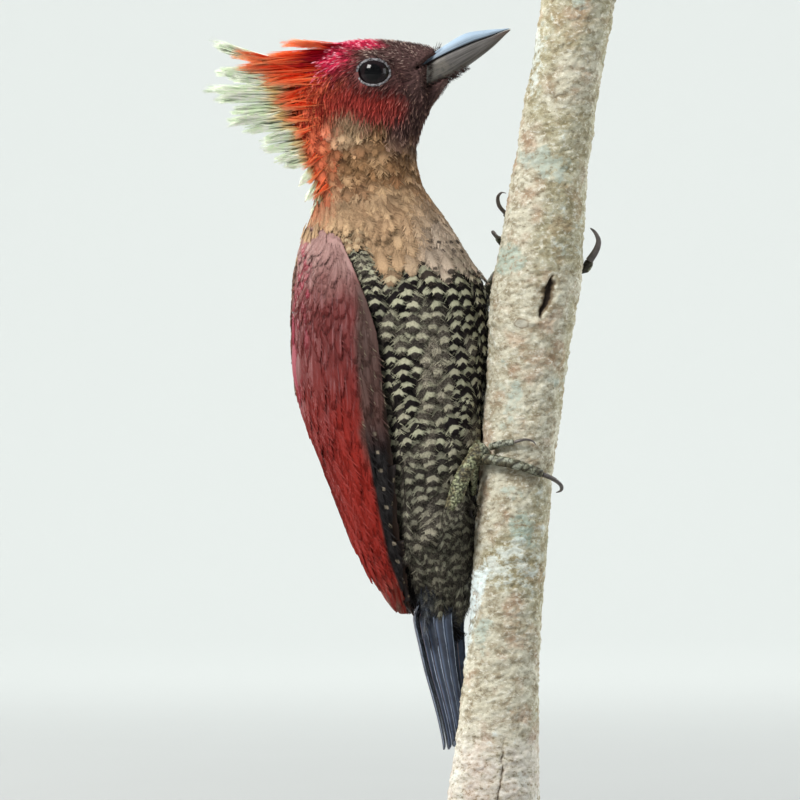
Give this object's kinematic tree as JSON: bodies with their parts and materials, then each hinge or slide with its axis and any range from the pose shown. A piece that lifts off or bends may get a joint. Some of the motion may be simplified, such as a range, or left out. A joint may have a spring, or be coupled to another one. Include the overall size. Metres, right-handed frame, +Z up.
{
  "type": "woodpecker",
  "caption": "Life-size still woodpecker with a shaggy crest, clinging to a cut length of stem on a plain round display stand.",
  "frame": {"origin": "centre of the underside of the stand's base", "axes": "+Z up along the stem, +X from the bird towards the stem, -Y the bird's right side, which is the side mostly seen"},
  "size_m": [0.15, 0.15, 0.303],
  "materials": {
    "barred_plumage": "soft barred feathers",
    "buff_plumage": "soft scaly feathers",
    "red_plumage": "soft feathers",
    "crest_plumage": "loose pointed feathers",
    "wing_plumage": "smooth vaned feathers",
    "flight_feathers": "stiff vaned feathers",
    "tail_plumage": "stiff pointed feathers",
    "bill_horn": "satin horn",
    "eye": "wet gloss",
    "leg_scales": "scaly skin",
    "claw_horn": "polished horn",
    "bark": "rough bark with lichen",
    "stand_wood": "satin varnish",
    "stand_steel": "brushed"
  },
  "bodies": {
    "root": {"bill_lower": "bill_horn", "bill_upper": "bill_horn", "claw_left_front_inner": "claw_horn", "claw_left_front_middle": "claw_horn", "claw_left_hallux": "claw_horn", "claw_left_outer": "claw_horn", "claw_right_front_inner": "claw_horn", "claw_right_front_middle": "claw_horn", "claw_right_hallux": "claw_horn", "claw_right_outer": "claw_horn", "crest": "crest_plumage", "eye_left": "eye", "eye_right": "eye", "head": "red_plumage", "neck": "buff_plumage", "perch": "bark", "primaries_left": "flight_feathers", "primaries_right": "flight_feathers", "shank_left": "leg_scales", "shank_right": "leg_scales", "stand_base": "stand_wood", "stand_rod": "stand_steel", "tail_feather_left_1": "tail_plumage", "tail_feather_left_2": "tail_plumage", "tail_feather_left_3": "tail_plumage", "tail_feather_left_4": "tail_plumage", "tail_feather_left_5": "tail_plumage", "tail_feather_right_1": "tail_plumage", "tail_feather_right_2": "tail_plumage", "tail_feather_right_3": "tail_plumage", "tail_feather_right_4": "tail_plumage", "tail_feather_right_5": "tail_plumage", "thigh_left": "barred_plumage", "thigh_right": "barred_plumage", "toe_left_front_inner": "leg_scales", "toe_left_front_middle": "leg_scales", "toe_left_hallux": "leg_scales", "toe_left_outer": "leg_scales", "toe_right_front_inner": "leg_scales", "toe_right_front_middle": "leg_scales", "toe_right_hallux": "leg_scales", "toe_right_outer": "leg_scales", "trunk": "barred_plumage", "undertail": "barred_plumage", "wing_left": "wing_plumage", "wing_right": "wing_plumage"}
  },
  "joints": []
}
